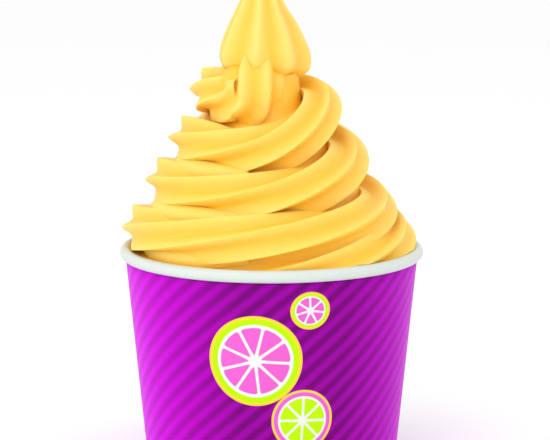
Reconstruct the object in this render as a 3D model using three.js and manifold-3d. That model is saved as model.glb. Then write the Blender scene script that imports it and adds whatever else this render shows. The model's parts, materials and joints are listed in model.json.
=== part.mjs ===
// A paper dessert cup heaped with mango sorbet, piped as one star-ribbed rope that coils up to a peak.
// Units are millimetres, +Z is up, the origin is the centre of the cup's foot.
import * as THREE from "three";
import { mergeVertices } from "three/addons/utils/BufferGeometryUtils.js";
import Module from "manifold-3d";

const wasm = await Module();
wasm.setup();

// ---- Driving dimensions ------------------------------------------------------------

// Cup: a tapered paper wall with a rolled rim and a recessed base.
const CUP_HEIGHT = 73;
const RIM_RADIUS = 49;
const ROLL_HALF_WIDTH = 1.85;
const ROLL_HALF_HEIGHT = 1.95;
const FOOT_RADIUS = 40.2;
const WALL_TOP_RADIUS = 47.15;
const PAPER = 0.6;
const GAP = 0.3;
const BASE_LEVEL = 8;
const HEM_HEIGHT = 6.5;
// The rolled rim is a bead: angles on its section where the wall's outside and inside meet it.
const BEAD_OUTSIDE = -0.25 * Math.PI;
const BEAD_INSIDE = 1.15 * Math.PI;
const BEAD_FOOT = 0.8 * ROLL_HALF_HEIGHT;
const BEAD_FAIRING = 1;
const ROUND_SIDES = 64;
const ROLL_SIDES = 8;

// Rope: a star section. A groove's bottom is at GROOVE_RATIO of the ribs' radius.
const RIBS = 6;
const GROOVE_RATIO = 0.64;
const RIB_ROUNDING = 0.09;
const POINTS_PER_RIB = 3;
const FIRST_RIB_ANGLE = Math.PI;

// Coil: turns count anticlockwise seen from above, from 0 where the rope first passes the cup's right side.
// Each row below is one turn of the rope's centre: where it passes the left, the front, the right
// and the back.
const FIRST_TURN = -0.5;
const TURN_HEIGHTS = [
  [66, 68.5, 75.5, 77.5],
  [79, 81, 85, 92.5],
  [94, 92.5, 101, 107.5],
  [107, 106, 118, 121],
];
const TURN_RADII = [
  [35.5, 37.5, 39.7, 38.8],
  [37.8, 37, 35.4, 33.2],
  [28.8, 29, 26.4, 24.5],
  [20.8, 19.8, 18.2, 17],
];
// Along the coil the rope swells and twists a little (degrees), and the coil leans to the left.
const ROPE_RADII = [
  { turn: -0.5, rope: 8.3 },
  { turn: 1, rope: 8.3 },
  { turn: 2.5, rope: 8.7 },
];
const TWISTS = [
  { turn: -0.5, twist: 0 },
  { turn: 1, twist: 0 },
  { turn: 2.5, twist: -6 },
];
const LEANS = [
  { turn: -0.5, lean: 0 },
  { turn: 0.5, lean: -2.5 },
  { turn: 3.5, lean: -3.7 },
];
const FORWARD_SHIFT = -1.5;
const STEPS_PER_TURN = 36;
const STEPS_PER_PIECE = 18;

// The last stretch tightens, swells and stands up under the peak.
const RISE = [
  { turn: 3.5, radius: 13.6, height: 122.5, rope: 8.5, twist: -4 },
  { turn: 3.6, radius: 9.8, height: 119.8, rope: 8.6, twist: -8 },
  { turn: 3.72, radius: 8.7, height: 119.8, rope: 9.4, twist: -18 },
  { turn: 3.79, radius: 9.6, height: 123, rope: 10, twist: -26 },
  { turn: 3.815, radius: 9.2, height: 127.7, rope: 10.2, twist: -26 },
  { turn: 3.83, radius: 7.4, height: 132.2, rope: 9.6, twist: -26 },
  { turn: 3.87, radius: 3.7, height: 136.5, rope: 8, twist: -26 },
];
const STEPS_PER_RISE_STATION = 3;

// Inside: the cup is full to FILL_LEVEL, and a core fills the coil above it, level by level.
const FILL_LEVEL = 69;
const CORE = [
  { height: 68, radius: 41 },
  { height: 80, radius: 37 },
  { height: 94, radius: 28.5 },
  { height: 107, radius: 20 },
  { height: 118, radius: 13 },
  { height: 130, radius: 6 },
];
const CORE_SIDES = 32;

// Peak: a lobed drop pulled up to a point. Lobe angles are measured from the front, anticlockwise.
const PEAK_X = -2.3;
const PEAK_Y = -1;
const PEAK_LEAN = -0.05;
const PEAK_LOBES = [-54, 6, 31, 90, 150, 205, 256];
const PEAK_GROOVE = 0.2;
const PEAK_SIDES = 42;
const PEAK = [
  { height: 127.3, radius: 9.5 },
  { height: 129.2, radius: 14.2 },
  { height: 132, radius: 15.8 },
  { height: 135.5, radius: 15.3 },
  { height: 139.5, radius: 13.8 },
  { height: 144, radius: 11.6 },
  { height: 149, radius: 8.6 },
  { height: 154, radius: 6.2 },
  { height: 159, radius: 4.1 },
  { height: 163, radius: 2.2 },
];
const PEAK_TOP = 166.5;

// ---- Small helpers ------------------------------------------------------------

const sorbetYellow = () =>
  new THREE.MeshStandardMaterial({ color: "#f7cf55", roughness: 0.55, metalness: 0 });
const printedPaper = () =>
  new THREE.MeshStandardMaterial({ color: "#a10aa8", roughness: 0.4, metalness: 0 });
const whitePaper = () =>
  new THREE.MeshStandardMaterial({ color: "#f4f3ee", roughness: 0.6, metalness: 0 });

// A smooth curve through named stations: rows hold the place under one key and the value under another.
function smooth(rows, place, value, at) {
  const x = rows.map((row) => row[place]);
  const y = rows.map((row) => row[value]);
  const last = x.length - 1;
  const slope = (i) => (y[i + 1] - y[i]) / (x[i + 1] - x[i]);
  const tangent = (i) => {
    if (i === 0) return slope(0);
    if (i === last) return slope(last - 1);
    const before = x[i] - x[i - 1];
    const after = x[i + 1] - x[i];
    return (slope(i - 1) * after + slope(i) * before) / (before + after);
  };
  const p = THREE.MathUtils.clamp(at, x[0], x[last]);
  let i = 0;
  while (i < last - 1 && p > x[i + 1]) i += 1;
  const h = x[i + 1] - x[i];
  const t = (p - x[i]) / h;
  const start = y[i] + (tangent(i) * h) * t * (1 - t) * (1 - t);
  const bend = (y[i + 1] - y[i]) * t * t * (3 - 2 * t);
  return start + bend - tangent(i + 1) * h * t * t * (1 - t);
}

// A closed geometry as a solid, and back.
function solid(geometry) {
  const bare = geometry.clone();
  bare.deleteAttribute("normal");
  bare.deleteAttribute("uv");
  const merged = mergeVertices(bare, 1e-4);
  return new wasm.Manifold(
    new wasm.Mesh({
      numProp: 3,
      vertProperties: merged.getAttribute("position").array,
      triVerts: new Uint32Array(merged.index.array),
    }),
  );
}

// The outer skin of a joined body, without loose scraps or the pockets that joining sealed.
function outerSkin(body) {
  return body.decompose().reduce((best, next) => (next.volume() > best.volume() ? next : best));
}

function geometryOf(body) {
  const mesh = body.getMesh();
  const geometry = new THREE.BufferGeometry();
  geometry.setAttribute("position", new THREE.BufferAttribute(mesh.vertProperties, 3));
  geometry.setIndex(new THREE.BufferAttribute(mesh.triVerts, 1));
  geometry.computeVertexNormals();
  return geometry;
}

// A profile of [radius, height] pairs turned about the Z axis.
function turned(profile, sides = ROUND_SIDES) {
  const points = profile.map(([radius, height]) => new THREE.Vector2(radius, height));
  return new THREE.LatheGeometry(points, sides).rotateX(Math.PI / 2);
}

// Rings of points, each ring with the same count, skinned and closed with a fan at both ends.
function skinned(rings, firstCentre, lastCentre) {
  const count = rings[0].length;
  const positions = [...rings.flat(), firstCentre, lastCentre].flatMap((p) => [p.x, p.y, p.z]);
  const first = rings.length * count;
  const last = first + 1;
  const faces = [];
  for (let r = 0; r + 1 < rings.length; r += 1) {
    for (let k = 0; k < count; k += 1) {
      const a = r * count + k;
      const b = r * count + ((k + 1) % count);
      faces.push(a, b, b + count, a, b + count, a + count);
    }
  }
  const top = (rings.length - 1) * count;
  for (let k = 0; k < count; k += 1) {
    const next = (k + 1) % count;
    faces.push(first, next, k, last, top + k, top + next);
  }
  const geometry = new THREE.BufferGeometry();
  geometry.setAttribute("position", new THREE.Float32BufferAttribute(positions, 3));
  geometry.setIndex(faces);
  return geometry;
}

// ---- Cup ------------------------------------------------------------

const ROLL_RADIUS = RIM_RADIUS - ROLL_HALF_WIDTH;
const ROLL_LEVEL = CUP_HEIGHT - ROLL_HALF_HEIGHT;
const wallRadius = (height) =>
  FOOT_RADIUS + ((WALL_TOP_RADIUS - FOOT_RADIUS) * height) / (CUP_HEIGHT - 2 * ROLL_HALF_HEIGHT);

// Points of the rolled rim's section, grown by a margin, from one angle to another.
function rollArc(fromAngle, toAngle, margin = 0) {
  return Array.from({ length: ROLL_SIDES + 1 }, (_, i) => {
    const angle = THREE.MathUtils.lerp(fromAngle, toAngle, i / ROLL_SIDES);
    return [
      ROLL_RADIUS + (ROLL_HALF_WIDTH + margin) * Math.cos(angle),
      ROLL_LEVEL + (ROLL_HALF_HEIGHT + margin) * Math.sin(angle),
    ];
  });
}

// The wall's paper turns in under the base's flange and up behind it, as a hem.
function cupWall() {
  const hemDepth = 3 * PAPER + 2 * GAP;
  const hemReach = (height) => wallRadius(height) - hemDepth;
  const neck = ROLL_LEVEL - BEAD_FOOT;
  const outline = [
    [hemReach(0), 0],
    [FOOT_RADIUS, 0],
    [wallRadius(neck), neck],
    ...rollArc(BEAD_OUTSIDE, BEAD_INSIDE),
    [wallRadius(neck - BEAD_FAIRING) - PAPER, neck - BEAD_FAIRING],
    [wallRadius(PAPER) - PAPER, PAPER],
    [hemReach(0) + PAPER, PAPER],
    [hemReach(HEM_HEIGHT) + PAPER, HEM_HEIGHT],
    [hemReach(HEM_HEIGHT), HEM_HEIGHT],
    [hemReach(0), 0],
  ];
  return new THREE.Mesh(turned(outline), printedPaper());
}

// How far the cup's contents reach at a height: the inside of the wall, less a hairline gap.
const reach = (height) => wallRadius(height) - PAPER - GAP;

// The base disc has a flange that turns down into the hem.
function cupBase() {
  const flangeFoot = PAPER + GAP;
  const outline = [
    [0, BASE_LEVEL - PAPER],
    [reach(BASE_LEVEL - PAPER) - PAPER, BASE_LEVEL - PAPER],
    [reach(flangeFoot) - PAPER, flangeFoot],
    [reach(flangeFoot), flangeFoot],
    [reach(BASE_LEVEL), BASE_LEVEL],
    [0, BASE_LEVEL],
  ];
  return new THREE.Mesh(turned(outline), whitePaper());
}

// ---- Sorbet ------------------------------------------------------------

// Rows of four values a turn as stations a quarter of a turn apart.
const perQuarter = (rows, name) =>
  rows.flat().map((value, quarter) => ({ turn: FIRST_TURN + quarter / 4, [name]: value }));
const heights = [...perQuarter(TURN_HEIGHTS, "height"), ...RISE];
const radii = [...perQuarter(TURN_RADII, "radius"), ...RISE];
const ropes = [...ROPE_RADII, ...RISE];
const twists = [...TWISTS, ...RISE];

function coilCentre(turn) {
  const angle = 2 * Math.PI * turn;
  const radius = smooth(radii, "turn", "radius", turn);
  return new THREE.Vector3(
    smooth(LEANS, "turn", "lean", turn) + radius * Math.cos(angle),
    FORWARD_SHIFT + radius * Math.sin(angle),
    smooth(heights, "turn", "height", turn),
  );
}

// How far a groove goes in at a fraction of the way between two ribs: 0 on a rib, 1 in mid-groove.
function grooveShape(fraction) {
  const crest = (value) => Math.sqrt(value * value + RIB_ROUNDING * RIB_ROUNDING);
  return (crest(Math.sin(Math.PI * fraction)) - RIB_ROUNDING) / (crest(1) - RIB_ROUNDING);
}

// The star keeps its heading as the rope bends: each section is the level star tipped from +Z to the
// rope's direction.
function ropeSection(turn) {
  const step = 1e-3;
  const direction = coilCentre(turn + step).sub(coilCentre(turn - step)).normalize();
  const tip = new THREE.Quaternion().setFromUnitVectors(new THREE.Vector3(0, 0, 1), direction);
  const centre = coilCentre(turn);
  const radius = smooth(ropes, "turn", "rope", turn);
  const twist = THREE.MathUtils.degToRad(smooth(twists, "turn", "twist", turn));
  return Array.from({ length: RIBS * POINTS_PER_RIB }, (_, k) => {
    const reach = radius * (1 - (1 - GROOVE_RATIO) * grooveShape(k / POINTS_PER_RIB));
    const angle = FIRST_RIB_ANGLE + twist + (2 * Math.PI * k) / (RIBS * POINTS_PER_RIB);
    const point = new THREE.Vector3(reach * Math.cos(angle), reach * Math.sin(angle), 0);
    return point.applyQuaternion(tip).add(centre);
  });
}

// Sections stand evenly round the coil, then closer together where the rope stands up.
function sectionTurns() {
  const coilSteps = Math.round((RISE[0].turn - FIRST_TURN) * STEPS_PER_TURN);
  const turns = Array.from({ length: coilSteps + 1 }, (_, i) => FIRST_TURN + i / STEPS_PER_TURN);
  for (let i = 0; i + 1 < RISE.length; i += 1) {
    for (let step = 1; step <= STEPS_PER_RISE_STATION; step += 1) {
      turns.push(THREE.MathUtils.lerp(RISE[i].turn, RISE[i + 1].turn, step / STEPS_PER_RISE_STATION));
    }
  }
  return turns;
}

// The rope is skinned in short closed stretches, because neighbouring turns press into each other.
function rope() {
  const turns = sectionTurns();
  let joined = null;
  for (let from = 0; from + 1 < turns.length; from += STEPS_PER_PIECE) {
    const stretch = turns.slice(from, from + STEPS_PER_PIECE + 1);
    const rings = stretch.map(ropeSection);
    const piece = solid(skinned(rings, coilCentre(stretch[0]), coilCentre(stretch[stretch.length - 1])));
    joined = joined ? joined.add(piece) : piece;
  }
  return joined;
}

// The peak's outline at an angle from the front, as a share of its radius: 1 on a lobe, less in the
// groove between two.
function lobeReach(fromFront) {
  const lobes = [...PEAK_LOBES, PEAK_LOBES[0] + 360];
  const at = THREE.MathUtils.euclideanModulo(fromFront - lobes[0], 360) + lobes[0];
  const i = lobes.findIndex((lobe, k) => k + 1 < lobes.length && at < lobes[k + 1]);
  const gap = lobes[i + 1] - lobes[i];
  const depth = (PEAK_GROOVE * gap * RIBS) / 360;
  return 1 - depth * grooveShape((at - lobes[i]) / gap);
}

function peak() {
  const foot = PEAK[0].height;
  const axisAt = (height) => new THREE.Vector3(PEAK_X + PEAK_LEAN * (height - foot), PEAK_Y, height);
  const rings = PEAK.map(({ height, radius }) =>
    Array.from({ length: PEAK_SIDES }, (_, k) => {
      const fromFront = (360 * k) / PEAK_SIDES;
      const angle = THREE.MathUtils.degToRad(fromFront - 90);
      const reach = radius * lobeReach(fromFront);
      return axisAt(height).add(new THREE.Vector3(reach * Math.cos(angle), reach * Math.sin(angle), 0));
    }),
  );
  return solid(skinned(rings, axisAt(foot), axisAt(PEAK_TOP)));
}

// The heap inside the coil leans with it.
function core() {
  const foot = CORE[0].height;
  const top = CORE[CORE.length - 1].height;
  const axisAt = (height) => {
    const share = (height - foot) / (top - foot);
    const lean = THREE.MathUtils.lerp(LEANS[0].lean, LEANS[LEANS.length - 1].lean, share);
    return new THREE.Vector3(lean, 0, height);
  };
  const rings = CORE.map(({ height, radius }) =>
    Array.from({ length: CORE_SIDES }, (_, k) => {
      const angle = (2 * Math.PI * k) / CORE_SIDES;
      return axisAt(height).add(new THREE.Vector3(radius * Math.cos(angle), radius * Math.sin(angle), 0));
    }),
  );
  return solid(skinned(rings, axisAt(foot), axisAt(top)));
}

// The room that the sorbet may take: the cup's inside, clear of the paper, and all above the rim.
function room() {
  const floor = BASE_LEVEL + GAP;
  const neck = ROLL_LEVEL - ROLL_HALF_HEIGHT - BEAD_FAIRING;
  const wide = 2 * RIM_RADIUS;
  const high = 2 * PEAK_TOP;
  const outline = [
    [0, floor],
    [reach(floor), floor],
    [reach(neck), neck],
    ...rollArc(BEAD_INSIDE, Math.PI / 2, GAP),
    [wide, CUP_HEIGHT + GAP],
    [wide, high],
    [0, high],
  ];
  return solid(turned(outline));
}

function sorbet() {
  const cylinder = [
    [0, 0],
    [RIM_RADIUS, 0],
    [RIM_RADIUS, FILL_LEVEL],
    [0, FILL_LEVEL],
  ];
  const fill = solid(turned(cylinder));
  const heap = rope().add(core()).add(peak()).add(fill).intersect(room());
  return new THREE.Mesh(geometryOf(outerSkin(heap)), sorbetYellow());
}

// ---- Assembly ------------------------------------------------------------

const sorbetCup = new THREE.Group();
const pieces = { cup_wall: cupWall(), cup_base: cupBase(), sorbet: sorbet() };
for (const [name, mesh] of Object.entries(pieces)) {
  mesh.name = name;
  sorbetCup.add(mesh);
}

export default sorbetCup;
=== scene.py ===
# %% [markdown]
# # A sorbet cup, cell by cell
# The object is a paper dessert cup heaped with mango sorbet. The sorbet is one soft rope with a star
# section, piped round and round and pulled up to a peak. This file builds it in Blender on top of a packed
# CAD frame, in the order in which the real thing is made: the cup is wound from its paper, then the sorbet
# is piped into it.

# %% Load the frame
import json
from math import cos, pi, radians, sin, sqrt

import bpy
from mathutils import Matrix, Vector, noise

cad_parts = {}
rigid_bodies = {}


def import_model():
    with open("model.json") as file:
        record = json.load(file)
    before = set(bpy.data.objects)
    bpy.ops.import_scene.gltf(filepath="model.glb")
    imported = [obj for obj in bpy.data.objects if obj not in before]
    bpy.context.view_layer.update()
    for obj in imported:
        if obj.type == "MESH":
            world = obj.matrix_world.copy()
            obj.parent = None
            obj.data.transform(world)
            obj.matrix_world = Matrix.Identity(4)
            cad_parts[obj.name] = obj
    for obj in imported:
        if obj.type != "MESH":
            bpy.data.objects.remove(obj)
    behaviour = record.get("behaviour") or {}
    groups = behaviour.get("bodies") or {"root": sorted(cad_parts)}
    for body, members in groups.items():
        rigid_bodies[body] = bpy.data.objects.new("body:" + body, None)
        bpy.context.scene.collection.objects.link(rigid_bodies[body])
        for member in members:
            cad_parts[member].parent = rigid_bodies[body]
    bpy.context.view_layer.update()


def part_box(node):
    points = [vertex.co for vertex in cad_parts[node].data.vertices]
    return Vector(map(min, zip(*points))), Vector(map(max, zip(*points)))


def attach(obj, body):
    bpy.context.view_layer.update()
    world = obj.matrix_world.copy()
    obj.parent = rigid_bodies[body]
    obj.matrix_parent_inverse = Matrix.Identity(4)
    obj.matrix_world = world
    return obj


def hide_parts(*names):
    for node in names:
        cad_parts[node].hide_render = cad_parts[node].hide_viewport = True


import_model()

# %% [markdown]
# ## Sizes
# The frame gives the main sizes: how high the cup stands, how far its rolled rim reaches, where its base
# lies and how high the peak goes. The paper is worked out from those and from a few sizes of its own, such
# as the roll's. Blender works in metres, and a cup is easier to think of in millimetres, so small sizes are
# written as a number times MM.

# %% Sizes from the frame
MM = 0.001
_, wall_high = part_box("cup_wall")
_, base_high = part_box("cup_base")
_, sorbet_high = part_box("sorbet")

CUP_HEIGHT = wall_high.z
RIM_RADIUS = wall_high.x
BASE_LEVEL = base_high.z
ROLL_HALF_WIDTH = 1.85 * MM
ROLL_HALF_HEIGHT = 1.95 * MM
ROLL_RADIUS = RIM_RADIUS - ROLL_HALF_WIDTH
ROLL_LEVEL = CUP_HEIGHT - ROLL_HALF_HEIGHT
NECK_LEVEL = ROLL_LEVEL - 2.6 * MM      # where the straight wall ends and the roll begins
FOOT_RADIUS = 40.15 * MM
PAPER = 0.45 * MM


def wall_radius(height):
    """The outside of the paper at a height: a straight taper from the foot to the rolled rim."""
    share = height / (CUP_HEIGHT - 2 * ROLL_HALF_HEIGHT)
    return FOOT_RADIUS + (ROLL_RADIUS - FOOT_RADIUS) * share


print("rim", round(2000 * RIM_RADIUS, 1), "mm across, cup", round(CUP_HEIGHT * 1000, 1), "mm high")

# %% [markdown]
# ## Shader maths as plain sums
# A material's pattern is a sum over sockets, and a node for every plus sign is hard to read. This small
# class wraps a socket, so that an ordinary Python expression adds the Math nodes by itself. One method,
# node, makes any other node.

# %% A socket that can be used in sums
class Socket:
    """A node's output. Sums, products and comparisons of Sockets and numbers add Math nodes to the tree."""

    def __init__(self, tree, output):
        self.tree = tree
        self.output = output

    def node(self, kind, settings=None, outlet=0, **inputs):
        """Adds a node: its settings, then its sockets' values or links, by name or as _0, _1 and so on."""
        made = self.tree.nodes.new(kind)
        for name, value in (settings or {}).items():
            setattr(made, name, value)
        for name, value in inputs.items():
            place = int(name[1:]) if name.startswith("_") else name.replace("_", " ")
            if isinstance(value, Socket):
                self.tree.links.new(value.output, made.inputs[place])
            else:
                made.inputs[place].default_value = value
        return Socket(self.tree, made.outputs[outlet])

    def maths(self, operation, *others, first=None):
        """A Math node of this kind, on this socket and the others."""
        values = [self if first is None else first, *others]
        inputs = {f"_{i}": value for i, value in enumerate(values)}
        return self.node("ShaderNodeMath", {"operation": operation}, **inputs)

    def __add__(self, other):
        return self.maths("ADD", other)

    def __radd__(self, other):
        return self.maths("ADD", self, first=other)

    def __sub__(self, other):
        return self.maths("SUBTRACT", other)

    def __rsub__(self, other):
        return self.maths("SUBTRACT", self, first=other)

    def __mul__(self, other):
        return self.maths("MULTIPLY", other)

    def __rmul__(self, other):
        return self.maths("MULTIPLY", self, first=other)

    def __truediv__(self, other):
        return self.maths("DIVIDE", other)

    def __pow__(self, other):
        return self.maths("POWER", other)

    def __abs__(self):
        return self.maths("ABSOLUTE")

    def sine(self):
        return self.maths("SINE")

    def past(self, edge, softness):
        """0 before an edge, 1 past it, with a soft step between."""
        raw = (self - (edge - softness / 2)) / softness
        return raw.node("ShaderNodeClamp", Value=raw)


def new_material(name):
    """A material with a Principled shader. Returns it, its shader node and a Socket to start sums from."""
    material = bpy.data.materials.new(name)
    material.use_nodes = True
    tree = material.node_tree
    shader = tree.nodes["Principled BSDF"]
    coordinates = tree.nodes.new("ShaderNodeTexCoord")
    return material, shader, Socket(tree, coordinates.outputs["Object"])


def feed(shader, **inputs):
    """Sets the shader's sockets to values, colours or Sockets. Base_Color is its Base Color."""
    for name, value in inputs.items():
        target = shader.inputs[name.replace("_", " ")]
        if isinstance(value, Socket):
            value.tree.links.new(value.output, target)
        else:
            target.default_value = value


def mix(low, high, share):
    """A colour between two colours."""
    return share.node("ShaderNodeMix", {"data_type": "RGBA"}, outlet=2, _0=share, _6=low, _7=high)


def colour(red, green, blue):
    """A colour as a paint program gives it, 0 to 255, turned to the linear values that a shader takes."""
    linear = [((c / 255 + 0.055) / 1.055) ** 2.4 if c > 10 else c / 255 / 12.92 for c in (red, green, blue)]
    return (*linear, 1.0)


def noise_of(place, scale, detail=2.0, roughness=0.5):
    """Smooth noise from 0 to 1 at a place. scale is in waves per metre."""
    return place.node("ShaderNodeTexNoise", Vector=place, Scale=scale, Detail=detail, Roughness=roughness)


def bump(height, strength, distance):
    """A normal that leans as a height field does. distance is the height's full range in metres."""
    return height.node("ShaderNodeBump", Strength=strength, Distance=distance, Height=height)


# %% [markdown]
# ## Two ways to start a mesh
# Paper and piped sorbet have one thing in common: both are a flat or straight thing that is bent round. So
# the two helpers start from a flat grid primitive, and move its points to where the bent thing lies. A
# sheet stays open. A tube has its two long edges merged and its two ends filled.

# %% Helpers that bend a grid
def deselect_all():
    if bpy.context.object and bpy.context.object.mode != "OBJECT":
        bpy.ops.object.mode_set(mode="OBJECT")
    bpy.ops.object.select_all(action="DESELECT")


def select_only(piece):
    deselect_all()
    piece.select_set(True)
    bpy.context.view_layer.objects.active = piece


def bent_grid(name, across, along, place, place_uv, materials=()):
    """A grid of across by along faces. place(i, j) is where point i, j goes, and place_uv(i, j) its UV."""
    deselect_all()
    bpy.ops.mesh.primitive_grid_add(x_subdivisions=across, y_subdivisions=along, size=1, calc_uvs=True)
    piece = bpy.context.object
    piece.name = name
    mesh = piece.data
    for material in materials:
        mesh.materials.append(material)
    columns = across + 1
    for number, vertex in enumerate(mesh.vertices):
        vertex.co = place(number % columns, number // columns)
    for loop, uv in zip(mesh.loops, mesh.uv_layers.active.data):
        uv.uv = place_uv(loop.vertex_index % columns, loop.vertex_index // columns)
    return piece


def close_tube(piece):
    """Merges the tube's long edges, fills its two ends and turns its faces outwards."""
    select_only(piece)
    bpy.ops.object.mode_set(mode="EDIT")
    bpy.ops.mesh.select_all(action="SELECT")
    bpy.ops.mesh.remove_doubles(threshold=0.001 * MM)
    bpy.ops.mesh.select_all(action="DESELECT")
    bpy.ops.mesh.select_non_manifold()
    bpy.ops.mesh.fill_holes(sides=0)
    bpy.ops.mesh.select_all(action="SELECT")
    bpy.ops.mesh.normals_make_consistent(inside=False)
    bpy.ops.object.mode_set(mode="OBJECT")
    return piece


def tube(name, rings):
    """A closed tube through rings of (point, depth). Its UV is the depth, 0 to 1, and the way along."""
    around = len(rings[0])
    last = len(rings) - 1
    return close_tube(bent_grid(
        name, around, last,
        lambda i, j: rings[j][i % around][0],
        lambda i, j: (rings[j][i % around][1], j / last),
    ))


def apply_modifier(piece, kind, **settings):
    """Adds a modifier, sets it and applies it."""
    select_only(piece)
    modifier = piece.modifiers.new(kind.title(), kind)
    for name, value in settings.items():
        setattr(modifier, name, value)
    bpy.ops.object.modifier_apply(modifier=modifier.name)


def arc(centre_radius, centre_height, half_width, half_height, start, end, steps):
    """Points (radius, height) on an oval, from one angle in degrees to another."""
    points = []
    for step in range(steps + 1):
        angle = radians(start + (end - start) * step / steps)
        points.append((centre_radius + half_width * cos(angle), centre_height + half_height * sin(angle)))
    return points


def lathe_ring(radius, height, sides, centre=(0, 0)):
    """One level ring of (point, depth), all as deep as a groove."""
    turns = [2 * pi * side / sides for side in range(sides)]
    return [(Vector((centre[0] + radius * cos(t), centre[1] + radius * sin(t), height)), 1) for t in turns]


# %% [markdown]
# ## Printed paper
# The print is two purples in soft diagonal stripes, with a cluster of citrus slices on both faces. Shade and
# sheen are painted into it: the purples are darkened in the middle of the front and the back, as painted
# shade, and lightened at the sides, as painted sheen. It follows the blank, so it reads the wall's own UV
# map: across is the angle round the cup as a share of a full turn, and up is the height as a share of the
# cup's. The stripes are a wave along across and up together. A slice is a set of circles, and its segments
# are spokes of the angle about its centre, so no image is needed.

# %% Print and paper materials
STRIPES = 40.4                # round the cup: not a whole number, so they don't quite meet at the lap
STRIPE_RISE = 12.5            # stripes met on the way straight up the cup
STRIPE_SOFTNESS = 0.8
PAINTED_SHADE_MIDDLE = 0.026           # turns: the painted shade is deepest a little right of the middle of each face
PAINTED_SHADE_REACH = 0.145            # turns from there to where the painted shade has half given way to the painted sheen
PAINTED_SHADE_SOFTNESS = 0.17
PRINT_RADIUS = 43.7           # mm: turns times its circle are mm across the print
INK_EDGE = 0.15               # mm: how soft a printed edge is
PINK = colour(228, 98, 200)
LIME = colour(186, 236, 10)
WHITE = colour(228, 230, 226)
YELLOW = colour(240, 206, 60)
PITH_REACH = 0.87             # shares of a slice's radius
FLESH_REACH = 0.8
SLICES = (                    # mm across and up, radius in mm, segments, turn in radians, rind, flesh
    (-5, 44, 14.5, 9, 0.3, LIME, PINK),
    (10, 24.5, 10, 8, 0.1, PINK, LIME),
    (11.5, 60, 6, 7, 0.6, LIME, PINK),
)


def fruit_slice(under, x, z, fruit):
    """Prints one slice of citrus fruit over the colour under: outline, rind, pith and segments."""
    centre_x, centre_z, radius, segments, turn, rind, flesh = fruit
    dx = x - centre_x
    dz = z - centre_z
    away = (dx * dx + dz * dz) ** 0.5
    spoke = abs((dz.maths("ARCTAN2", dx) * (segments / 2) + turn).sine()) * away * (2 / segments)
    line = 0.4 + radius / 30  # mm: a bigger slice has slightly thicker lines
    for ink, reach in ((YELLOW, radius), (rind, radius - line), (WHITE, radius * PITH_REACH - line)):
        under = mix(under, ink, (reach - away).past(0, INK_EDGE))
    within = (radius * FLESH_REACH - line - away).maths("SMOOTH_MIN", spoke - line / 2, radius / 12)
    return mix(under, flesh, within.past(0, INK_EDGE))


material, shader, place = new_material("printed_paper")
print_uv = place.node("ShaderNodeUVMap")
across = print_uv.node("ShaderNodeSeparateXYZ", Vector=print_uv)
up = Socket(place.tree, across.output.node.outputs["Y"])
wave = ((across * STRIPES - up * STRIPE_RISE) * (2 * pi)).sine()
band = (wave * 0.5 + 0.5).past(0.5, STRIPE_SOFTNESS)
# Half a turn is taken off until a face's middle is 0, so the front and the back are alike.
on_face = across - (across * 2).maths("ROUND") * 0.5
# Painted light: the purples darken towards each face's middle as painted shade and lighten at the sides as
# painted sheen.
from_painted_shade_middle = abs(across - PAINTED_SHADE_MIDDLE - ((across - PAINTED_SHADE_MIDDLE) * 2).maths("ROUND") * 0.5)
deep = mix(colour(114, 0, 115), colour(150, 0, 157), band)
painted_sheen_purples = mix(colour(193, 0, 203), colour(220, 0, 232), band)
print_and_painted_light = mix(deep, painted_sheen_purples, from_painted_shade_middle.past(PAINTED_SHADE_REACH, PAINTED_SHADE_SOFTNESS))
for fruit in SLICES:
    print_and_painted_light = fruit_slice(print_and_painted_light, on_face * (2 * pi * PRINT_RADIUS), up * (CUP_HEIGHT / MM), fruit)
fibres = noise_of(place, 700, detail=3)
feed(
    shader,
    Base_Color=print_and_painted_light,
    Roughness=0.38 + 0.06 * fibres,
    Normal=bump(fibres, 0.04, 0.1 * MM),
    Specular_IOR_Level=0.06,
)
printed = material

material, shader, place = new_material("white_paper")
fibres = noise_of(place, 900, detail=4, roughness=0.6)
feed(
    shader,
    Base_Color=mix(colour(201, 209, 203), colour(213, 221, 215), fibres),
    Roughness=0.45 + 0.1 * fibres,
    Normal=bump(fibres, 0.06, 0.1 * MM),
)
white = material

material, shader, place = new_material("cut_paper_edge")
fibres = noise_of(place, 2500, detail=3)
feed(
    shader,
    Base_Color=mix(colour(214, 208, 196), colour(236, 232, 222), fibres),
    Roughness=0.9,
)
cut_edge = material

# %% [markdown]
# ## The cup's wall
# A paper cup's wall is one printed, fan-shaped blank, wound round until it overlaps itself by about 8 mm and
# glued there. The top edge is curled outwards into the rim, so that the rim shows the blank's white inside.
# The bottom edge is folded in and up behind the base, as a hem. A lathe would lose the overlap, so the blank
# here is a grid that is wound a little more than one turn: the profile says where each row of it goes, and
# the lap rises by one thickness of paper as it passes over its own start. The lap is put at the right-hand
# back, where the photo doesn't look.

# %% Wind the paper wall
AROUND = 288
SEAM_AZIMUTH = 112.0          # degrees from the front, towards the right
LAP = 10.5                    # degrees of overlap
LAP_RISE = 20.0               # degrees over which the outer layer climbs on to the inner one
HEM_TOP = 6.4 * MM
HEM_IN = 1.75 * MM            # the hem's printed face, in from the wall's
HEM_RIDGES = 96
HEM_RIDGE_DEPTH = 0.1 * MM
WALL_STEPS = 22
FOLD_STEPS = 8
CURL_FROM, CURL_TO = 195, -93 # degrees on the rolled rim's section, over its top
CURL_STEPS = 26


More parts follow.
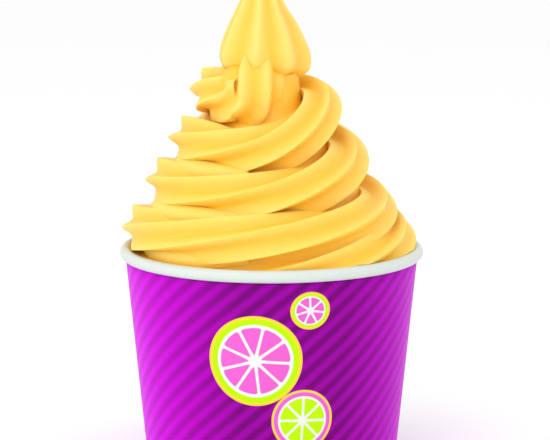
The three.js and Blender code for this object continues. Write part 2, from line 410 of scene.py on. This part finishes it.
def wall_profile():
    """The blank's printed face from the hem's edge, round the fold, up the wall and over the rolled rim."""
    hem = [(wall_radius(height) - HEM_IN, height) for height in (HEM_TOP, 0.66 * HEM_TOP, 0.33 * HEM_TOP)]
    fold = arc(FOOT_RADIUS - HEM_IN / 2, HEM_IN / 2, HEM_IN / 2, HEM_IN / 2, 180, 360, FOLD_STEPS)
    wall = []
    for step in range(1, WALL_STEPS + 1):
        height = HEM_IN / 2 + (NECK_LEVEL - HEM_IN / 2) * step / WALL_STEPS
        wall.append((wall_radius(height), height))
    curl = arc(
        ROLL_RADIUS, ROLL_LEVEL, ROLL_HALF_WIDTH - PAPER, ROLL_HALF_HEIGHT - PAPER,
        CURL_FROM, CURL_TO, CURL_STEPS,
    )
    return hem + fold + wall + curl


def wound_wall():
    profile = wall_profile()
    sweep = 360 + LAP

    def place(i, j):
        progress = sweep * i / AROUND
        lap = min(max((progress - (360 - LAP_RISE)) / LAP_RISE, 0), 1)
        lap = lap * lap * (3 - 2 * lap)
        radius, height = profile[j]
        azimuth = radians(SEAM_AZIMUTH + progress)
        in_hem = height < HEM_TOP + MM and radius < wall_radius(height) - HEM_IN / 2
        ridge = HEM_RIDGE_DEPTH * cos(HEM_RIDGES * azimuth) if in_hem else 0
        radius += ridge + lap * PAPER * (-1 if in_hem else 1)
        return Vector((radius * sin(azimuth), -radius * cos(azimuth), height))

    def place_uv(i, j):
        return ((SEAM_AZIMUTH + sweep * i / AROUND) / 360 - 1, profile[j][1] / CUP_HEIGHT)

    piece = bent_grid("paper_wall", AROUND, len(profile) - 1, place, place_uv, (printed, white, cut_edge))
    apply_modifier(
        piece, "SOLIDIFY", thickness=PAPER, offset=-1, use_even_offset=True, material_offset=1,
        material_offset_rim=2,
    )
    return piece


paper_wall = wound_wall()
print("paper wall:", len(paper_wall.data.polygons), "faces, lap at", SEAM_AZIMUTH, "degrees")

# %% [markdown]
# ## The cup's base
# The base is a second blank, a disc whose edge is turned down into a flange. It stands in the wall's hem, a
# little above the table, which keeps a cold cup off the wood. It could be turned on a lathe too, but here it
# is made as a press makes it: a disc, inset rings that are pushed up or down, and an edge that is extruded
# down.

# %% Press the base
FLANGE_FOOT = HEM_IN / 2 + 0.35 * MM
BASE_ROUND = 0.9 * MM
BASE_ROUND_STEPS = 4
BASE_SIDES = 144
GLUE_GAP = 0.25 * MM          # between the wall's paper and the base's
RING_EDGE = 3.5 * MM          # the pressed ring's place in from the edge, its slopes, its width and relief
RING_SLOPE = 0.7 * MM
RING_WIDTH = 2.2 * MM
RING_RELIEF = 0.35 * MM


def pressed_base():
    reach = wall_radius(BASE_LEVEL) - PAPER - GLUE_GAP
    flat = reach - BASE_ROUND
    deselect_all()
    bpy.ops.mesh.primitive_circle_add(
        vertices=BASE_SIDES, radius=flat, fill_type="NGON", location=(0, 0, BASE_LEVEL))
    piece = bpy.context.object
    piece.name = "paper_base"
    bpy.ops.object.transform_apply(location=True, rotation=False, scale=False)
    bpy.ops.object.mode_set(mode="EDIT")
    bpy.ops.mesh.select_all(action="SELECT")
    for inset, lift in (
        (RING_EDGE, 0), (RING_SLOPE, -RING_RELIEF), (RING_WIDTH, 0), (RING_SLOPE, RING_RELIEF),
    ):
        bpy.ops.mesh.inset(thickness=inset, depth=lift)
    bpy.ops.mesh.select_all(action="DESELECT")
    bpy.ops.mesh.select_non_manifold()
    turned = 0
    width = flat
    for step in range(1, BASE_ROUND_STEPS + 1):
        angle = radians(90 * step / BASE_ROUND_STEPS)
        wider = flat + BASE_ROUND * sin(angle)
        down = BASE_ROUND * (1 - cos(angle))
        bpy.ops.mesh.extrude_region_move(TRANSFORM_OT_translate={"value": (0, 0, turned - down)})
        bpy.ops.transform.resize(value=(wider / width, wider / width, 1))
        turned = down
        width = wider
    foot_reach = wall_radius(FLANGE_FOOT) - PAPER - GLUE_GAP
    bpy.ops.mesh.extrude_region_move(
        TRANSFORM_OT_translate={"value": (0, 0, FLANGE_FOOT - (BASE_LEVEL - BASE_ROUND))})
    bpy.ops.transform.resize(value=(foot_reach / reach, foot_reach / reach, 1))
    bpy.ops.mesh.select_all(action="SELECT")
    bpy.ops.mesh.normals_make_consistent(inside=False)
    bpy.ops.object.mode_set(mode="OBJECT")
    apply_modifier(piece, "SOLIDIFY", thickness=PAPER, offset=-1, use_even_offset=True)
    piece.data.materials.append(white)
    return piece


paper_base = pressed_base()
print("paper base:", len(paper_base.data.polygons), "faces")

# %% [markdown]
# ## The rope of sorbet
# The machine's nozzle is a star with six points. It stays turned the same way while the cup goes round under
# it, so the rope's star keeps its heading: each section is the level star, tipped over just as far as the
# rope leans. That is why the ridges look like sharp fins on the left, where the rope comes towards the eye,
# and like long smooth bands at the front. A curve with a star as its bevel would twist the star along with
# the path. So the sections are worked out one by one, from where the coil passes the left, the front, the
# right and the back on each turn.
#
# The heights and radii of those places aren't worked out from a rule. They began as a computer fit of such a
# rope to ridge lines marked on the photo, and were then rounded and in part changed.

# %% Where the rope runs
RIBS = 6
GROOVE_RATIO = 0.64           # how deep the grooves go: their bottom is at this share of the ribs' radius
RIB_ROUNDING = 0.09
SOFT_GROOVE_RATIO = 0.78      # both, where the rope slows down and rises into the peak
SOFT_RIB_ROUNDING = 0.45
FIRST_TURN = -0.5             # turns count from where the rope first passes the cup's right
TURN_HEIGHTS = [              # mm, of the rope's middle: left, front, right, back
    (66, 68.5, 75.5, 77.5),
    (79, 81, 85, 92.5),
    (94, 92.5, 101, 107.5),
    (107, 106, 118, 121),
]
TURN_RADII = [                # mm from the coil's axis, in the same order
    (35.5, 37.5, 39.7, 38.8),
    (37.8, 37, 35.4, 33.2),
    (28.8, 29, 26.4, 24.5),
    (20.8, 19.8, 18.2, 17),
]
ROPE_RADII = [(-0.5, 8.3), (1, 8.3), (2.5, 8.7)]        # (turn, mm)
TWISTS = [(-0.5, 0), (1, 0), (2.5, -6), (3.4, -5)]      # (turn, degrees)
LEANS = [(-0.5, 0), (0.5, -2.5), (3.5, -3.7)]           # (turn, mm to the right)
SOFTENINGS = [(-0.5, 0), (3.3, 0), (3.4, 0), (3.7, 1)]  # (turn, 0 for sharp ribs to 1 for soft ones)
FORWARD_SHIFT = -1.5
RISE = [                      # the last stretch, up under the peak: turn, radius, height, rope, twist
    (3.5, 13.6, 122.5, 8.5, -4),
    (3.58, 10.5, 121, 9, -16),
    (3.65, 9.3, 120.7, 10, -34),
    (3.7, 9, 122.2, 9.6, -50),
    (3.72, 8.7, 125.2, 9, -60),
    (3.73, 7.7, 128.4, 8.7, -66),
    (3.74, 5.6, 131.2, 7.4, -68),
    (3.75, 3, 133.2, 5, -68),
]


def through(stations):
    """A smooth curve through stations (place, value), as a function of the place."""
    x = [place for place, _ in stations]
    y = [value for _, value in stations]
    last = len(x) - 1
    slopes = [(y[i + 1] - y[i]) / (x[i + 1] - x[i]) for i in range(last)]

    def tangent(i):
        if i in (0, last):
            return slopes[0] if i == 0 else slopes[-1]
        before, after = x[i] - x[i - 1], x[i + 1] - x[i]
        return (slopes[i - 1] * after + slopes[i] * before) / (before + after)

    def value(at):
        at = min(max(at, x[0]), x[-1])
        i = next(k for k in range(last) if at <= x[k + 1])
        h = x[i + 1] - x[i]
        t = (at - x[i]) / h
        return (y[i] + tangent(i) * h * t * (1 - t) ** 2
                + (y[i + 1] - y[i]) * t * t * (3 - 2 * t)
                - tangent(i + 1) * h * t * t * (1 - t))

    return value


def per_quarter(rows):
    """Stations a quarter of a turn apart, from rows of four values."""
    values = [value for row in rows for value in row]
    return [(FIRST_TURN + quarter / 4, value) for quarter, value in enumerate(values)]


coil_height = through(per_quarter(TURN_HEIGHTS) + [(row[0], row[2]) for row in RISE])
coil_radius = through(per_quarter(TURN_RADII) + [(row[0], row[1]) for row in RISE])
rope_radius = through(ROPE_RADII + [(row[0], row[3]) for row in RISE])
rope_twist = through(TWISTS + [(row[0], row[4]) for row in RISE])
coil_lean = through(LEANS)
softening = through(SOFTENINGS)


def coil_centre(turn):
    """The middle of the rope at a turn, in mm."""
    angle = 2 * pi * turn
    radius = coil_radius(turn)
    across = coil_lean(turn) + radius * cos(angle)
    back = FORWARD_SHIFT + radius * sin(angle)
    return Vector((across, back, coil_height(turn)))


def tip_along(centre_at, turn):
    """The least turning that tips a level section over to where a path heads."""
    step = 1e-3
    ahead = (centre_at(turn + step) - centre_at(turn - step)).normalized()
    return Vector((0, 0, 1)).rotation_difference(ahead)


def groove(share, rounding):
    """How far a groove goes in at a share of the way between two ribs: 0 on a rib, 1 in mid-groove."""
    def crest(value):
        return sqrt(value * value + rounding * rounding)
    return (crest(sin(pi * share)) - rounding) / (crest(1) - rounding)


# %% [markdown]
# ## Sections, and what makes them uneven
# Real piped sorbet is never quite even: a rib swells and thins a little as the machine pulses. Perlin noise
# from mathutils gives that, and it is the same on every run. Each point also keeps its depth in the groove,
# 0 on a rib and 1 at the bottom, and the material reads it later to paint shade into the grooves.

# %% Make the rope's sections
POINTS_PER_RIB = 11
STEPS_PER_TURN = 84
STEPS_PER_RISE_STATION = 7
PULSE = 0.022                 # the ribs' swell, as a share of the rope's radius
PULSES_PER_TURN = 9


def rope_ring(turn):
    """The star section at a turn, as (point in metres, depth)."""
    tip = tip_along(coil_centre, turn)
    centre = coil_centre(turn)
    radius = rope_radius(turn)
    twist = radians(rope_twist(turn))
    soft = softening(turn)
    ratio = GROOVE_RATIO + (SOFT_GROOVE_RATIO - GROOVE_RATIO) * soft
    rounding = RIB_ROUNDING + (SOFT_RIB_ROUNDING - RIB_ROUNDING) * soft
    count = RIBS * POINTS_PER_RIB
    ring = []
    for k in range(count):
        share = (k % POINTS_PER_RIB) / POINTS_PER_RIB
        angle = pi + twist + 2 * pi * k / count
        swell = PULSE * noise.noise(Vector((PULSES_PER_TURN * turn, cos(angle), sin(angle))))
        depth = groove(share, rounding)
        reach = radius * (1 + swell) * (1 - (1 - ratio) * depth)
        point = Vector((reach * cos(angle), reach * sin(angle), 0))
        ring.append(((centre + tip @ point) * MM, depth))
    return ring


def rope_turns():
    """The turns that get a section: even along the coil, and closer where the rope stands up."""
    steps = round((RISE[0][0] - FIRST_TURN) * STEPS_PER_TURN)
    turns = [FIRST_TURN + (RISE[0][0] - FIRST_TURN) * step / steps for step in range(steps + 1)]
    for here, there in zip(RISE, RISE[1:]):
        for step in range(1, STEPS_PER_RISE_STATION + 1):
            turns.append(here[0] + (there[0] - here[0]) * step / STEPS_PER_RISE_STATION)
    return turns


turns = rope_turns()
stretch = STEPS_PER_TURN // 2
sorbet_parts = []
for start in range(0, len(turns) - 1, stretch):
    rings = [rope_ring(turn) for turn in turns[start:start + stretch + 1]]
    sorbet_parts.append(tube(f"rope_{start // stretch}", rings))
print("rope:", len(sorbet_parts), "stretches,", len(turns), "sections")

# %% [markdown]
# ## The peak
# When the nozzle closes and is pulled away, the last of the rope is drawn up to a point. Its ribs close up
# into lobes that aren't evenly spaced, and its foot sags a little. A cone with a star section would be too
# even for that, so each ring is worked out from the lobes' own angles.

# %% Pull up the peak
PEAK_X = -2
PEAK_Y = -1
PEAK_LEAN = -0.05             # mm to the right per mm of height
PEAK_TWIST = 0.35             # degrees per mm of height
PEAK_LOBES = (-66, -13, 32, 88, 145, 200, 250)     # degrees from the front, anticlockwise
PEAK_GROOVE = 0.2             # a groove's depth, as a share of the peak's radius
PEAK_ROUNDING = 0.25
PEAK_TILT = 0.07              # the peak's foot falls to the right, in mm per mm
PEAK_NOD = 0.14               # and to the back
PEAK_TILT_FADE = 15           # mm above the foot where both have faded
PEAK_SIDES = 168
PEAK_STEPS = 72
PEAK_TOP = sorbet_high.z / MM
POINT_HEIGHT = 0.3            # mm at the very top, over which the point is closed
POINT_RADIUS = 0.9
CLOSED_RADIUS = 0.3
PULSES_PER_MM = 0.15
PEAK = [(127.8, 9.5), (129.6, 13.4), (132.2, 14.9), (135, 14.9), (139.5, 13.4), (144, 11.4),
        (149, 8.5), (154, 6), (159, 4.1), (163, 2.2)]


def lobe_depth(from_front):
    """The depth in a groove of the peak at an angle, and how deep that groove is beside an even one."""
    lobes = [*PEAK_LOBES, PEAK_LOBES[0] + 360]
    at = (from_front - lobes[0]) % 360 + lobes[0]
    i = next(k for k in range(len(PEAK_LOBES)) if at < lobes[k + 1])
    gap = lobes[i + 1] - lobes[i]
    return groove((at - lobes[i]) / gap, PEAK_ROUNDING), gap * RIBS / 360


def peak_ring(height, radius):
    """One ring of the peak, as (point in metres, depth)."""
    foot = PEAK[0][0]
    fade = max(0, 1 - (height - foot) / PEAK_TILT_FADE)
    ring = []
    for side in range(PEAK_SIDES):
        from_front = 360 * side / PEAK_SIDES
        angle = radians(from_front - 90 + PEAK_TWIST * (height - foot))
        swell = PULSE * noise.noise(Vector((PULSES_PER_MM * height, cos(angle), sin(angle))))
        depth, span = lobe_depth(from_front)
        reach = radius * (1 + swell) * (1 - PEAK_GROOVE * span * depth)
        across = reach * cos(angle)
        back = reach * sin(angle)
        x = PEAK_X + PEAK_LEAN * (height - foot) + across
        z = height - fade * (PEAK_TILT * across + PEAK_NOD * back)
        ring.append((Vector((x, PEAK_Y + back, z)) * MM, depth))
    return ring


shoulder = PEAK_TOP - POINT_HEIGHT
peak_radius = through(PEAK + [(shoulder, POINT_RADIUS)])
rings = []
for step in range(PEAK_STEPS + 1):
    height = PEAK[0][0] + (shoulder - PEAK[0][0]) * step / PEAK_STEPS
    rings.append(peak_ring(height, peak_radius(height)))
rings.append(peak_ring(PEAK_TOP, CLOSED_RADIUS))
sorbet_parts.append(tube("peak", rings))
print("peak:", len(rings), "rings")

# %% [markdown]
# ## One body of sorbet
# The turns press into each other and into the sorbet that fills the cup. A Boolean union joins the stretches
# of rope, the peak, the fill, a plain core that fills the coil, a ball in the inside of the last bend, and
# a lens of sorbet where two turns part on the left and soft sorbet has run into the gap. Then one more
# Boolean cuts off what would be inside the paper. Last, everything that isn't linked to the tip, such as a
# sealed pocket, is deleted.

# %% Fill the coil and the cup
FILL_LEVEL = 72.2
CORE = [(68, 41), (80, 37), (94, 28.5), (107, 20), (118, 13), (129, 12.2)]  # (height, radius)
CORE_SIDES = 64
KNOT = (-9.8, -7.8, 125.5)    # where the rope turns upwards, a ball fills the inside of its bend
KNOT_RADIUS = 6.8
KNOT_SIDES = 48
KNOT_STEPS = 24
GAPS = (-0.5, 0.5, 1.5)             # turns at the left, under which the next turn leaves a gap
GAP_START = 0.02              # turns past the left where the gap opens
GAP_SPAN = 0.22
GAP_SHARE = 0.55              # of the way up to the next turn
GAP_OUT = 2
GAP_RADIUS = 3.5
GAP_STEPS = 20
GAP_SIDES = 24
LATHE_SIDES = 144
PAPER_GAP = 0.12 * MM
BEAD_FROM, BEAD_TO = 205, 90  # degrees on the rolled rim's section, from the cup's inside to its top
BEAD_STEPS = 10
AXIS_RADIUS = 0.01 * MM       # a lathed body is closed this close to the axis


def core_rings():
    """A plain core inside the coil, which leans as the coil does."""
    rings = []
    for height, radius in CORE:
        share = (height - CORE[0][0]) / (CORE[-1][0] - CORE[0][0])
        lean = LEANS[0][1] + (LEANS[-1][1] - LEANS[0][1]) * share
        rings.append(lathe_ring(radius * MM, height * MM, CORE_SIDES, (lean * MM, 0)))
    return rings


def knot_rings():
    x, y, z = KNOT
    middle = (x * MM, y * MM)
    profile = arc(0, z, KNOT_RADIUS, KNOT_RADIUS, -89, 89, KNOT_STEPS)
    return [lathe_ring(radius * MM, height * MM, KNOT_SIDES, middle) for radius, height in profile]


def gap_centre(turn):
    """The middle of the gap between a turn and the next one up, in mm."""
    low = coil_centre(turn)
    high = coil_centre(turn + 1)
    outwards = Vector((cos(2 * pi * turn), sin(2 * pi * turn), 0))
    return low.lerp(high, GAP_SHARE) + GAP_OUT * outwards


def gap_rings(first):
    """A round lens of soft sorbet that has run into the gap, from the left to the front."""
    rings = []
    for step in range(1, GAP_STEPS):
        turn = first + GAP_START + GAP_SPAN * step / GAP_STEPS
        radius = GAP_RADIUS * sqrt(sin(pi * step / GAP_STEPS))
        tip = tip_along(gap_centre, turn)
        level = lathe_ring(radius, 0, GAP_SIDES)
        rings.append([((gap_centre(turn) + tip @ point) * MM, 0) for point, _ in level])
    return rings


def lathed(name, profile):
    """A closed body turned about the cup's axis, with its two ends filled flat."""
    return tube(name, [lathe_ring(radius, height, LATHE_SIDES) for radius, height in profile])


def room_profile():
    """The cup's inside, a hair clear of the paper, and all the air above it."""
    def inside(height):
        return wall_radius(height) - PAPER - PAPER_GAP
    bottom = BASE_LEVEL + PAPER_GAP
    bead = arc(
        ROLL_RADIUS, ROLL_LEVEL, ROLL_HALF_WIDTH + PAPER_GAP, ROLL_HALF_HEIGHT + PAPER_GAP,
        BEAD_FROM, BEAD_TO, BEAD_STEPS,
    )
    wide = 2 * RIM_RADIUS
    top = 2 * PEAK_TOP * MM
    return [
        (AXIS_RADIUS, bottom), (inside(bottom), bottom), (inside(NECK_LEVEL), NECK_LEVEL), *bead,
        (wide, CUP_HEIGHT + PAPER_GAP), (wide, top), (AXIS_RADIUS, top),
    ]


# The fill starts below the base and reaches past the paper, and the last Boolean trims it to the room.
fill = lathed("fill", [(RIM_RADIUS, BASE_LEVEL / 2), (RIM_RADIUS, FILL_LEVEL * MM)])
sorbet_parts += [tube("core", core_rings()), tube("knot", knot_rings()), fill]
sorbet_parts += [tube(f"gap_{i}", gap_rings(first)) for i, first in enumerate(GAPS)]

# %% Join, trim and clean the sorbet
def join_parts(name, parts):
    """The union of closed meshes."""
    others = bpy.data.collections.new(name + "_parts")
    bpy.context.scene.collection.children.link(others)
    for part in parts[1:]:
        others.objects.link(part)
    first = parts[0]
    first.name = name
    apply_modifier(
        first, "BOOLEAN", operation="UNION", operand_type="COLLECTION", collection=others,
        solver="MANIFOLD",
    )
    for part in parts[1:]:
        bpy.data.objects.remove(part)
    bpy.data.collections.remove(others)
    return first


def keep_linked_to_tip(piece):
    """Deletes every shell that isn't linked to the highest point."""
    select_only(piece)
    highest = max(piece.data.vertices, key=lambda vertex: vertex.co.z).index
    bpy.ops.object.mode_set(mode="EDIT")
    bpy.ops.mesh.select_all(action="DESELECT")
    bpy.ops.object.mode_set(mode="OBJECT")
    piece.data.vertices[highest].select = True
    bpy.ops.object.mode_set(mode="EDIT")
    bpy.ops.mesh.select_linked()
    bpy.ops.mesh.select_all(action="INVERT")
    bpy.ops.mesh.delete(type="VERT")
    bpy.ops.object.mode_set(mode="OBJECT")


sorbet = join_parts("mango_sorbet", sorbet_parts)
room = lathed("room", room_profile())
apply_modifier(sorbet, "BOOLEAN", operation="INTERSECT", object=room, solver="MANIFOLD")
bpy.data.objects.remove(room)
keep_linked_to_tip(sorbet)
print("sorbet:", sum(len(p.vertices) - 2 for p in sorbet.data.polygons), "triangles")

# %% [markdown]
# ## Shading
# Smooth shading hides the facets. By angle, it keeps the creases where two turns of the rope meet, and the
# paper's cut edges.

# %% Smooth the pieces
for piece, angle in ((paper_wall, 40), (paper_base, 30), (sorbet, 38)):
    select_only(piece)
    bpy.ops.object.shade_smooth_by_angle(angle=radians(angle))

# %% [markdown]
# ## Mango sorbet
# Sorbet is frozen purée: satin, a little see-through, with fine ice grain. Its colour is paler towards the
# peak, as painted sheen, with soft cloudiness that varies its tone at random, and a deeper yellow in the
# grooves, as painted shade that follows the depth each point kept in its UV map. The warm glow in the folds
# comes in part from light that passes a little way under the surface, and in part from that painted shade.

# %% Sorbet material
# Painted sheen: the height above which the sorbet is paler, and the width of that soft step.
PAINTED_SHEEN_LEVEL = 125 * MM
PAINTED_SHEEN_FADE = 60 * MM

material, shader, place = new_material("mango_sorbet")
cloudy = noise_of(place, 90, detail=3)
sorbet_uv = place.node("ShaderNodeUVMap")
depth = sorbet_uv.node("ShaderNodeSeparateXYZ", Vector=sorbet_uv)
height = place.node("ShaderNodeSeparateXYZ", outlet=2, Vector=place)
# Painted sheen: the sorbet is paler towards the peak, with random cloudiness mixed in.
painted_sheen_and_cloud = height.past(PAINTED_SHEEN_LEVEL, PAINTED_SHEEN_FADE) * 0.7 + cloudy * 0.3
crest = mix(colour(249, 210, 91), colour(250, 215, 119), painted_sheen_and_cloud)
grain = noise_of(place, 1500, detail=4, roughness=0.6)
pits = noise_of(place, 420, detail=2)
feed(
    shader,
    # Painted shade: a deeper yellow towards the bottom of each groove.
    Base_Color=mix(crest, colour(249, 193, 36), depth * 0.8),
    Roughness=0.42 + 0.16 * grain,
    Normal=bump(grain * 0.55 + pits * 0.45, 0.35, 0.25 * MM),
    Subsurface_Weight=0.55,
    Subsurface_Radius=(1.0, 0.55, 0.12),
    Subsurface_Scale=2.2 * MM,
)
sorbet.data.materials.clear()
sorbet.data.materials.append(material)

# %% [markdown]
# ## Which piece stands for what
# Each piece rides on the one body, and replaces the CAD node that it was modelled over.

# %% Attach the pieces to the frame
for piece, node, slot in (
    (paper_wall, "cup_wall", "printed_paper"),
    (paper_base, "cup_base", "white_paper"),
    (sorbet, "sorbet", "sorbet"),
):
    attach(piece, "root")
    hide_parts(node)

# %% [markdown]
# ## Camera, floor and light
# The photo looks at the cup from ten degrees above level, on white. The lens shift puts the cup where the
# photo has it, cut off at the top and the bottom. The main light is large and high at the front left, with
# a weaker one at each side.

# %% Camera
CAMERA_AIM = Vector((0, 0, 71 * MM))
CAMERA_DISTANCE = 0.9
CAMERA_ELEVATION = 10
IMAGE_WIDTH, IMAGE_HEIGHT = 550, 440
PIXELS_PER_MM = 3.092
AXIS_X, AIM_Y = 271.5, 250.5  # where the cup's axis and the aim fall in the photo

camera = bpy.data.objects.new("camera", bpy.data.cameras.new("camera"))
bpy.context.scene.collection.objects.link(camera)
back = Vector((0, -cos(radians(CAMERA_ELEVATION)), sin(radians(CAMERA_ELEVATION))))
camera.location = CAMERA_AIM + CAMERA_DISTANCE * back
camera.rotation_euler = (-back).to_track_quat("-Z", "Y").to_euler()
camera.data.sensor_width = 36
camera.data.lens = PIXELS_PER_MM * (CAMERA_DISTANCE / MM) * camera.data.sensor_width / IMAGE_WIDTH
camera.data.shift_x = (IMAGE_WIDTH / 2 - AXIS_X) / IMAGE_WIDTH
camera.data.shift_y = (AIM_Y - IMAGE_HEIGHT / 2) / IMAGE_WIDTH
bpy.context.scene.camera = camera

# %% Floor and light
deselect_all()
bpy.ops.mesh.primitive_plane_add(size=6, location=(0, 0, 0))
floor = bpy.context.object
floor.name = "floor"
material, shader, place = new_material("pale_floor")
feed(shader, Base_Color=(0.97, 0.97, 0.97, 1), Roughness=0.7)
floor.data.materials.append(material)

world = bpy.data.worlds.new("white_room")
world.use_nodes = True
world.node_tree.nodes["Background"].inputs["Color"].default_value = (1, 1, 1, 1)
world.node_tree.nodes["Background"].inputs["Strength"].default_value = 1.0
bpy.context.scene.world = world


LIGHTS_AIM = Vector((0, 0, 90 * MM))


def softbox(name, place, size, power):
    lamp = bpy.data.objects.new(name, bpy.data.lights.new(name, "AREA"))
    lamp.data.size = size
    lamp.data.energy = power
    lamp.location = place
    lamp.rotation_euler = (LIGHTS_AIM - lamp.location).to_track_quat("-Z", "Y").to_euler()
    bpy.context.scene.collection.objects.link(lamp)
    return lamp


softbox("key", (-0.25, -0.7, 0.75), size=0.5, power=2.1)
softbox("side", (-0.75, -0.3, 0.3), size=0.4, power=0.8)
softbox("fill", (0.7, -0.45, 0.5), size=0.5, power=0.5)
bpy.context.scene.view_settings.view_transform = "Standard"
